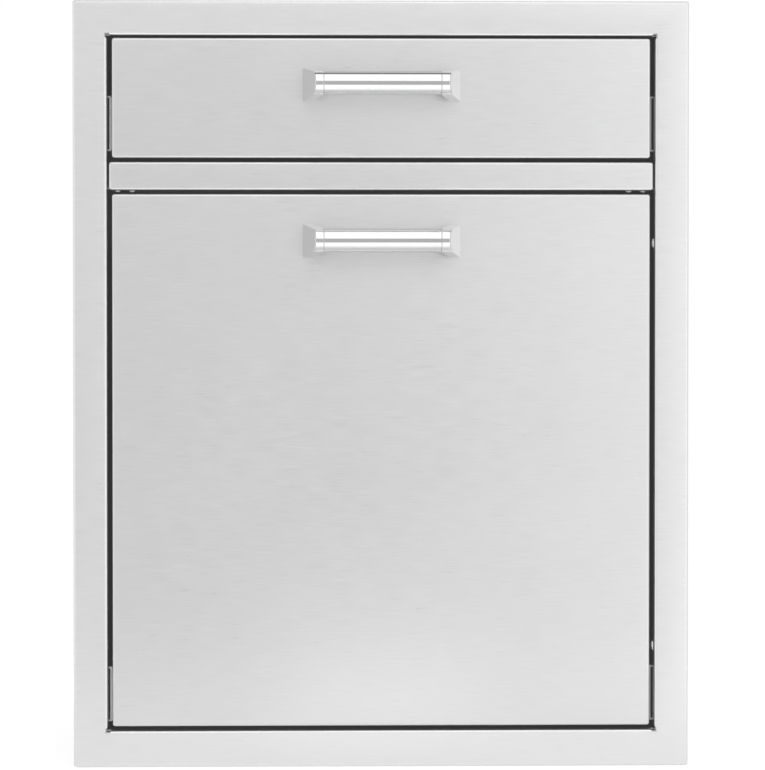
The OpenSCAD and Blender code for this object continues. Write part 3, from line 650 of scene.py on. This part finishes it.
def post_shape(shape, side, bar_y, middle_z, radius, seam_x, foot_x, face_y, foot_half):
    """The post of one end: the bar's half round and the flare, between two end faces."""
    def inner_x(y):
        share = max(0.0, (y - bar_y) / (face_y - bar_y))
        return seam_x + (foot_x - FOOT_WIDTH - seam_x) * share

    def outer_x(y):
        return foot_x - OUTER_LEAN * (face_y - y)

    arc = [math.radians(90 + 180 * i / NOSE_STEPS) for i in range(NOSE_STEPS + 1)]
    outline = [(bar_y + radius * math.cos(a), radius * math.sin(a)) for a in arc]
    outline += [(face_y, -foot_half), (face_y, foot_half)]
    inner = [shape.verts.new((side * inner_x(y), y, middle_z + z)) for y, z in outline]
    outer = [shape.verts.new((side * outer_x(y), y, middle_z + z)) for y, z in outline]
    for i in range(len(outline)):
        j = (i + 1) % len(outline)
        shape.faces.new((inner[i], inner[j], outer[j], outer[i]))
    shape.faces.new(outer)
    shape.faces.new(inner[:-2])
    shape.faces.new([inner[0], inner[-3], inner[-2], inner[-1]])
    bmesh.ops.recalc_face_normals(shape, faces=shape.faces)
    shape.normal_update()
    rim = [e for e in shape.edges if e.verts[0] in outer and e.verts[1] in outer
           and not all(abs(v.co.y - face_y) < TINY for v in e.verts)]
    bmesh.ops.bevel(shape, geom=rim, offset=RIM_BEVEL, offset_type="OFFSET", segments=4,
                    profile=0.5, affect="EDGES", clamp_overlap=True)
    end = [e for e in shape.edges if e.calc_face_angle(0) > CORNER_ANGLE
           and all(abs(v.co.x) < abs(inner_x(v.co.y)) + WELD for v in e.verts)
           and not all(abs(v.co.y - face_y) < WELD for v in e.verts)]
    bmesh.ops.bevel(shape, geom=end, offset=INNER_BEVEL, offset_type="OFFSET", segments=2,
                    profile=0.5, affect="EDGES", clamp_overlap=True)


for row in ("upper", "trash"):
    bar_lo, bar_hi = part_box(f"{row}_handle_bar")
    bar_middle = (bar_lo + bar_hi) / 2
    for side, end in ((-1, "left"), (1, "right")):
        lo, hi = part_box(f"{row}_handle_post_{end}")
        shape = bmesh.new()
        post_shape(shape, side, bar_middle.y, bar_middle.z, (bar_hi.z - bar_lo.z) / 2, bar_hi.x,
                   max(abs(lo.x), abs(hi.x)), hi.y, (hi.z - lo.z) / 2)
        spigot = bmesh.new()
        spigot_end = min(abs(lo.x), abs(hi.x))
        turned_shape(spigot, [(spigot_end, 0), (spigot_end, SPIGOT_RADIUS - END_BREAK),
                              (spigot_end + END_BREAK, SPIGOT_RADIUS), (bar_hi.x, SPIGOT_RADIUS),
                              (bar_hi.x, 0)])
        if side < 0:
            bmesh.ops.scale(spigot, verts=spigot.verts, vec=(-1, 1, 1))
        bmesh.ops.translate(spigot, verts=spigot.verts, vec=(0, bar_middle.y, bar_middle.z))
        bmesh.ops.recalc_face_normals(spigot, faces=spigot.faces)
        spigot_mesh = bpy.data.meshes.new("spigot")
        spigot.to_mesh(spigot_mesh)
        spigot.free()
        shape.from_mesh(spigot_mesh)
        bpy.data.meshes.remove(spigot_mesh)
        post = link_mesh(f"{row}_handle_end_post_{end}", shape, post_stainless, 35)
        even_shading(post)
        apply_modifiers(post, None)
        give(post, f"{row}_drawer", "polished_stainless", f"{row}_handle_post_{end}")

# ---------------------------------------------------------------- screws
# Stainless machine screws with a cross recess and a plain shank: low domed heads, and flat ones
# behind the slides. They hold fronts, handles, slides and divider, each stopped at its own angle.
HEAD_RADIUS = 3.6 * MM
SHANK_RADIUS = 2.0 * MM
RECESS_WIDTH = 0.9 * MM
RECESS_SPAN = 3.6 * MM
RECESS_DEPTH = 1.3 * MM
RECESS_TAPER = 0.55                      # width of the recess's bottom, as a share of its top
TIP_BREAK = 0.4 * MM
DOME_STEPS = 8
SCREW_STEPS = 40

screw_steel = metal("screw_steel", (0.52, 0.52, 0.53), (0.70, 0.70, 0.71), (0.18, 0.34), 0.004,
                    0.0004, 0.000004, wear_width=0.0003, cloud=0.01)


def solid_parts(node):
    """The (lowest, highest) corners of each separate solid in a CAD node."""
    shape = bmesh.new()
    shape.from_mesh(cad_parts[node].data)
    bmesh.ops.remove_doubles(shape, verts=shape.verts, dist=WELD)
    left = set(shape.verts)
    parts = []
    while left:
        todo = [left.pop()]
        found = list(todo)
        while todo:
            for edge in todo.pop().link_edges:
                for v in edge.verts:
                    if v in left:
                        left.remove(v)
                        todo.append(v)
                        found.append(v)
        parts.append((Vector([min(v.co[i] for v in found) for i in range(3)]),
                      Vector([max(v.co[i] for v in found) for i in range(3)])))
    shape.free()
    return sorted(parts, key=lambda part: tuple(round(c, 5) for c in part[0]))


def screw_pattern(name, head_height, shank_length, flat=False):
    """One screw along Z: its head's top at zero, with a cross recess cut into it."""
    shape = bmesh.new()
    if flat:
        profile = [(0, 0), (0, HEAD_RADIUS), (-head_height, SHANK_RADIUS)]
    else:
        dome = [(-head_height * 0.5 * (1 - math.cos(a)), HEAD_RADIUS * math.sin(a))
                for a in [math.radians(90 * i / DOME_STEPS) for i in range(DOME_STEPS + 1)]]
        profile = dome + [(-head_height, HEAD_RADIUS), (-head_height, SHANK_RADIUS)]
    tip = -head_height - shank_length
    profile += [(tip + TIP_BREAK, SHANK_RADIUS), (tip, SHANK_RADIUS - TIP_BREAK), (tip, 0)]
    turned_shape(shape, profile, SCREW_STEPS)
    bmesh.ops.rotate(shape, verts=shape.verts, matrix=Matrix.Rotation(math.radians(-90), 3, "Y"))
    bmesh.ops.recalc_face_normals(shape, faces=shape.faces)
    screw = link_mesh(name, shape, screw_steel)
    tool_shape = bmesh.new()
    for turn in (0, 90):
        place = Matrix.Rotation(math.radians(turn), 4, "Z")
        place = place @ Matrix.Diagonal((RECESS_SPAN, RECESS_WIDTH, RECESS_DEPTH * 2, 1))
        bmesh.ops.create_cube(tool_shape, size=1, matrix=place)
    for v in tool_shape.verts:
        if v.co.z < 0:
            v.co.x *= RECESS_TAPER
            v.co.y *= RECESS_TAPER
    tool = link_mesh(f"{name}_recess_tool", tool_shape, screw_steel)
    cut = screw.modifiers.new("recess", "BOOLEAN")
    cut.operation = "DIFFERENCE"
    cut.solver = "EXACT"
    cut.use_self = True
    cut.object = tool
    apply_modifiers(screw)
    bpy.data.objects.remove(tool)
    return screw


def geometry_tree(name, inputs):
    """A geometry node tree with a Geometry input and output and further named inputs."""
    tree = bpy.data.node_groups.new(name, "GeometryNodeTree")
    tree.interface.new_socket(name="Geometry", in_out="INPUT", socket_type="NodeSocketGeometry")
    for label, kind in inputs:
        tree.interface.new_socket(name=label, in_out="INPUT", socket_type=kind)
    tree.interface.new_socket(name="Geometry", in_out="OUTPUT", socket_type="NodeSocketGeometry")
    return tree, tree.nodes.new("NodeGroupInput"), tree.nodes.new("NodeGroupOutput")


screw_tree, tree_in, tree_out = geometry_tree(
    "screws_on_points", [("Screw", "NodeSocketObject"), ("Material", "NodeSocketMaterial"),
                         ("Seed", "NodeSocketInt")])
nodes, links = screw_tree.nodes, screw_tree.links
pattern = nodes.new("GeometryNodeObjectInfo")
facing = nodes.new("GeometryNodeInputNamedAttribute")
facing.data_type = "FLOAT_VECTOR"
facing.inputs["Name"].default_value = "facing"
align = nodes.new("FunctionNodeAlignRotationToVector")
align.axis = "Z"
stop_angle = nodes.new("FunctionNodeRandomValue")
stop_angle.inputs[3].default_value = 2 * math.pi
spin = nodes.new("FunctionNodeAxisAngleToRotation")
turn_screw = nodes.new("FunctionNodeRotateRotation")
turn_screw.rotation_space = "LOCAL"
place_screws = nodes.new("GeometryNodeInstanceOnPoints")
realize = nodes.new("GeometryNodeRealizeInstances")
finish_screws = nodes.new("GeometryNodeSetMaterial")
links.new(tree_in.outputs["Screw"], pattern.inputs["Object"])
links.new(facing.outputs["Attribute"], align.inputs["Vector"])
links.new(tree_in.outputs["Seed"], stop_angle.inputs["Seed"])
links.new(stop_angle.outputs[1], spin.inputs["Angle"])
links.new(align.outputs[0], turn_screw.inputs["Rotation"])
links.new(spin.outputs[0], turn_screw.inputs["Rotate By"])
links.new(tree_in.outputs["Geometry"], place_screws.inputs["Points"])
links.new(pattern.outputs["Geometry"], place_screws.inputs["Instance"])
links.new(turn_screw.outputs[0], place_screws.inputs["Rotation"])
links.new(place_screws.outputs[0], realize.inputs[0])
links.new(realize.outputs[0], finish_screws.inputs[0])
links.new(tree_in.outputs["Material"], finish_screws.inputs["Material"])
links.new(finish_screws.outputs[0], tree_out.inputs[0])


def run_tree(piece, tree, values, smooth_angle=30):
    """Puts a node tree on the piece with its named inputs set, and makes the result plain."""
    modifier = piece.modifiers.new(tree.name, "NODES")
    modifier.node_group = tree
    for item in tree.interface.items_tree:
        if item.in_out == "INPUT" and item.name in values:
            modifier[item.identifier] = values[item.name]
    return apply_modifiers(piece, smooth_angle)


SCREW_GROUPS = [
    # node, body, way the head faces (mirrored on the left side), head height, flat head
    ("upper_front_screws", "upper_drawer", (0, 1, 0), 2.2 * MM, False),
    ("trash_front_screws", "trash_drawer", (0, 1, 0), 2.2 * MM, False),
    ("upper_handle_screws", "upper_drawer", (0, 1, 0), 2.2 * MM, False),
    ("trash_handle_screws", "trash_drawer", (0, 1, 0), 2.2 * MM, False),
    ("divider_screws", "cabinet", (0, 0, -1), 2.2 * MM, False),
    ("upper_slide_inner_screws", "upper_drawer", (1, 0, 0), 2.0 * MM, False),
    ("trash_slide_inner_screws", "trash_drawer", (1, 0, 0), 2.0 * MM, False),
    ("slide_outer_screws", "cabinet", (-1, 0, 0), 1.2 * MM, True),
]
for seed, (node, body, outward, head_height, flat) in enumerate(SCREW_GROUPS):
    parts = solid_parts(node)
    axis = max(range(3), key=lambda i: abs(outward[i]))
    spots, directions = [], []
    for lo, hi in parts:
        spot = (lo + hi) / 2
        sign = outward[axis]
        if axis == 0 and spot.x < 0:
            sign = -sign
        spot[axis] = hi[axis] if sign > 0 else lo[axis]
        spots.append(spot)
        directions.append([sign if i == axis else 0 for i in range(3)])
    length = parts[0][1][axis] - parts[0][0][axis]
    pattern_screw = screw_pattern(f"{node}_pattern", head_height, length - head_height, flat)
    host = bpy.data.meshes.new(f"{node}_places")
    host.from_pydata(spots, [], [])
    attribute = host.attributes.new("facing", "FLOAT_VECTOR", "POINT")
    attribute.data.foreach_set("vector", [c for d in directions for c in d])
    screws = link_object(f"{node}_set", host, screw_steel)
    run_tree(screws, screw_tree, {"Screw": pattern_screw, "Material": screw_steel, "Seed": seed})
    bpy.data.objects.remove(pattern_screw)
    give(screws, body, "screw_steel", node)

# ---------------------------------------------------------------- slide balls
# Hardened steel balls, ground and lapped, in rows of six between the slide members. Each pair
# of rows is held by a cage and rolls in the grooves of two members.
BALL_SEGMENTS = 24
BALL_RINGS = 14

ball_steel = metal("ball_steel", (0.62, 0.62, 0.64), (0.74, 0.74, 0.76), (0.06, 0.14), 0.002,
                   0.0005, 0.0000008, wear_width=0.0002, wear_shine=0.02, cloud=0.004)

ball_tree, tree_in, tree_out = geometry_tree(
    "balls_on_points", [("Radius", "NodeSocketFloat"), ("Material", "NodeSocketMaterial")])
nodes, links = ball_tree.nodes, ball_tree.links
ball = nodes.new("GeometryNodeMeshUVSphere")
ball.inputs["Segments"].default_value = BALL_SEGMENTS
ball.inputs["Rings"].default_value = BALL_RINGS
place_balls = nodes.new("GeometryNodeInstanceOnPoints")
realize = nodes.new("GeometryNodeRealizeInstances")
finish_balls = nodes.new("GeometryNodeSetMaterial")
links.new(tree_in.outputs["Radius"], ball.inputs["Radius"])
links.new(tree_in.outputs["Geometry"], place_balls.inputs["Points"])
links.new(ball.outputs["Mesh"], place_balls.inputs["Instance"])
links.new(place_balls.outputs[0], realize.inputs[0])
links.new(realize.outputs[0], finish_balls.inputs[0])
links.new(tree_in.outputs["Material"], finish_balls.inputs["Material"])
links.new(finish_balls.outputs[0], tree_out.inputs[0])

for row in ("upper", "trash"):
    for place in ("outer", "inner"):
        node = f"{row}_{place}_balls"
        parts = solid_parts(node)
        host = bpy.data.meshes.new(f"{node}_places")
        host.from_pydata([(lo + hi) / 2 for lo, hi in parts], [], [])
        balls = link_object(f"{node}_set", host, ball_steel)
        ball_radius = (parts[0][1].z - parts[0][0].z) / 2
        run_tree(balls, ball_tree, {"Radius": ball_radius, "Material": ball_steel}, 60)
        give(balls, f"{row}_{place}_ball_cages", "ball_steel", node)

# ---------------------------------------------------------------- sheet metal inside
# Mill-finish stainless sheet, cut and folded: the enclosure's panels, the angles and channels
# that carry divider and slides, the liners of the fronts, both drawer bodies and the gussets.
sheet_stainless = metal("sheet_stainless", (0.52, 0.52, 0.525), (0.68, 0.68, 0.685),
                        (0.30, 0.44), 0.06, 0.0016, 0.000008, wear_width=0.0006, cloud=0.09)


def finish_nodes(material, slot, *names):
    """Gives CAD nodes a material; the slot is not used."""
    for name in names:
        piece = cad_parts[name]
        for place in piece.material_slots:
            place.material = material


finish_nodes(sheet_stainless, "sheet_stainless", "side_panel_left", "side_panel_right",
             "back_panel", "bottom_pan", "top_panel", "divider_brackets", "slide_brackets",
             "upper_front_liner", "upper_drawer_box", "upper_drawer_back", "trash_front_liner",
             "trash_tray", "trash_tray_back", "trash_gusset_left", "trash_gusset_right",
             "bin_rails")

# ---------------------------------------------------------------- slide members and cages
# Roll-formed steel channels, zinc plated, drawn lengthwise: outer, middle and inner members.
# The ball cages are thin pressed strip, also plated, a little warmer in tone.
slide_steel = metal("slide_steel", (0.44, 0.45, 0.47), (0.62, 0.63, 0.65), (0.24, 0.40), 0.05,
                    0.0010, 0.000006, wear_width=0.0004, cloud=0.05, lengthwise=True)
cage_steel = metal("cage_steel", (0.46, 0.44, 0.39), (0.60, 0.58, 0.52), (0.28, 0.44), 0.01,
                   0.0006, 0.000005, wear_width=0.0003, cloud=0.02, lengthwise=True)
for row in ("upper", "trash"):
    finish_nodes(slide_steel, "slide_steel", *(f"{row}_slide_{member}_{end}"
                 for member in ("outer", "middle", "inner") for end in ("left", "right")))
    finish_nodes(cage_steel, "cage_steel", f"{row}_outer_cages", f"{row}_inner_cages")

# ---------------------------------------------------------------- levers and stops
# The release levers are moulded in black glass-filled plastic and turn on a headed post. The
# stops behind the slides are cut from dark rubber strip.
speckle, speckle_in, speckle_out = node_group(
    "moulded_speckle",
    [("Place", "NodeSocketVector", None), ("Size", "NodeSocketFloat", 0.0008),
     ("Cloud Size", "NodeSocketFloat", 0.03)],
    ["Speckle", "Clouds"])
speckle_noise = stretched_noise(speckle, speckle_in.outputs["Place"], speckle_in.outputs["Size"],
                                speckle_in.outputs["Size"], 3)
speckle_clouds = stretched_noise(speckle, speckle_in.outputs["Place"],
                                 speckle_in.outputs["Cloud Size"],
                                 speckle_in.outputs["Cloud Size"], 2)
speckle.links.new(speckle_noise, speckle_out.inputs["Speckle"])
speckle.links.new(speckle_clouds, speckle_out.inputs["Clouds"])


def moulded(name, dark, light, rough, size, bump, cloud, wear_width=0.0006):
    """A moulded plastic or rubber: fine speckled skin, soft clouds and paler rubbed edges."""
    material = bpy.data.materials.new(name)
    tree, output = new_tree(material)
    shader = tree.nodes.new("ShaderNodeBsdfPrincipled")
    place = tree.nodes.new("ShaderNodeMapping")
    tree.links.new(tree.nodes.new("ShaderNodeTexCoord").outputs["Object"], place.inputs["Vector"])
    speckle_node = group_node(tree, speckle, Size=size, Cloud_Size=cloud)
    wear_node = group_node(tree, wear, Width=wear_width)
    for node in (speckle_node, wear_node):
        tree.links.new(place.outputs[0], node.inputs["Place"])
    shade = math_node(tree, "MULTIPLY_ADD", wear_node.outputs["Wear"], 0.6,
                      math_node(tree, "MULTIPLY", speckle_node.outputs["Clouds"], 0.7), clamp=True)
    tree.links.new(tint(tree, shade, dark, light), shader.inputs["Base Color"])
    tree.links.new(scaled(tree, speckle_node.outputs["Speckle"], rough[0], rough[1]),
                   shader.inputs["Roughness"])
    relief = tree.nodes.new("ShaderNodeBump")
    relief.inputs["Distance"].default_value = bump
    tree.links.new(speckle_node.outputs["Speckle"], relief.inputs["Height"])
    tree.links.new(relief.outputs[0], shader.inputs["Normal"])
    tree.links.new(shader.outputs[0], output.inputs["Surface"])
    return material


lever_plastic = moulded("lever_plastic", (0.012, 0.012, 0.013), (0.045, 0.045, 0.048),
                        (0.35, 0.55), 0.0006, 0.00004, 0.01)
stop_rubber = moulded("stop_rubber", (0.015, 0.015, 0.015), (0.05, 0.05, 0.05), (0.65, 0.9),
                      0.0008, 0.00008, 0.01)
finish_nodes(lever_plastic, "lever_plastic", *(f"{row}_release_lever_{end}"
             for row in ("upper", "trash") for end in ("left", "right")))
finish_nodes(stop_rubber, "stop_rubber", "slide_stops")

# ---------------------------------------------------------------- trash bin
# A lift-out bin moulded in dark grey polyethylene: tapered walls with large corners, and a
# rounded rim whose skirt turns down all round. It stands on the tray between two angles.
BIN_WALL = 2.5 * MM
BIN_TAPER = 24.0 * MM
BIN_LIP = 6.0 * MM
BIN_LIP_HEIGHT = 14.0 * MM
BIN_CORNER = 35.0 * MM
BASE_ROUND = 7.0 * MM
RIM_ROUND = 1.2 * MM
BIN_STEPS = 12
BASE_STEPS = 6
RIM_STEPS = 4

lo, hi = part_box("trash_bin")
bin_middle = (lo + hi) / 2
rim_w, rim_l = (hi.x - lo.x) / 2, (hi.y - lo.y) / 2
bin_height = hi.z - lo.z


def bin_ring(inset, z, corner):
    """A rounded ring round the bin, a distance inside its rim, at a height above its base."""
    points = rounded_outline(-rim_w + inset, rim_w - inset, -rim_l + inset, rim_l - inset,
                             corner, BIN_STEPS)
    return [Vector((bin_middle.x + x, bin_middle.y + y, lo.z + z)) for x, y in points]


def quarter(count, start):
    """Turns from start to start + 90 degrees, as (cosine, sine)."""
    for i in range(count + 1):
        a = math.radians(start + 90 * i / count)
        yield math.cos(a), math.sin(a)


def wall_inset(z):
    """How far the outer wall stands inside the rim at a height."""
    return BIN_LIP + BIN_TAPER * (1 - z / bin_height)


under_lip = bin_height - BIN_WALL
skirt_z = bin_height - BIN_LIP_HEIGHT
rings = []
for c, s in quarter(BASE_STEPS, -90):        # round the base edge, outside
    rings.append(bin_ring(wall_inset(0) + BASE_ROUND * (1 - c), BASE_ROUND * (1 + s),
                          BIN_CORNER - BASE_ROUND * (1 - c)))
for share in (0.25, 0.5, 0.75, 1.0):         # up the outer wall to the lip
    z = BASE_ROUND + (under_lip - BASE_ROUND) * share
    rings.append(bin_ring(wall_inset(z), z, BIN_CORNER))
skirt_r = BIN_CORNER + BIN_LIP
rings.append(bin_ring(BIN_WALL, under_lip, skirt_r - BIN_WALL))
rings.append(bin_ring(BIN_WALL, skirt_z + RIM_ROUND, skirt_r - BIN_WALL))
for start in (180, 270):                     # round the skirt's lower edge, both sides
    for c, s in quarter(RIM_STEPS, start):
        inset = BIN_WALL / 2 * (1 - c)
        rings.append(bin_ring(inset, skirt_z + RIM_ROUND * (1 + s), skirt_r - inset))
for c, s in quarter(RIM_STEPS, 0):           # over the rim
    inset = RIM_ROUND * (1 - c)
    rings.append(bin_ring(inset, bin_height - RIM_ROUND * (1 - s), skirt_r - inset))
inner_r = BIN_CORNER - BIN_WALL
for c, s in quarter(RIM_STEPS, 90):
    inset = wall_inset(bin_height) + BIN_WALL - RIM_ROUND * (1 + c)
    rings.append(bin_ring(inset, bin_height - RIM_ROUND * (1 - s),
                          inner_r + RIM_ROUND * (1 + c)))
for share in (0.75, 0.5, 0.25, 0.0):         # down the inside
    z = BASE_ROUND + (bin_height - BASE_ROUND) * share
    rings.append(bin_ring(wall_inset(z) + BIN_WALL, z, inner_r))
for c, s in quarter(BASE_STEPS, 180):        # round the inside's lower edge
    inset = (BASE_ROUND - BIN_WALL) * (1 + c)
    rings.append(bin_ring(wall_inset(BASE_ROUND) + BIN_WALL + inset,
                          BASE_ROUND + (BASE_ROUND - BIN_WALL) * s, inner_r - inset))
shape = bmesh.new()
rows = skin_rings(shape, rings, close=True)
shape.faces.new(list(reversed(rows[0])))
bmesh.ops.remove_doubles(shape, verts=shape.verts, dist=TINY)
bmesh.ops.recalc_face_normals(shape, faces=shape.faces)
bin_plastic = moulded("bin_plastic", (0.035, 0.037, 0.040), (0.085, 0.088, 0.094),
                      (0.38, 0.58), 0.0012, 0.00006, 0.12, wear_width=0.0012)
bin_body = link_mesh("trash_bin_moulding", shape, bin_plastic, 40)
give(bin_body, "bin", "bin_plastic", "trash_bin")
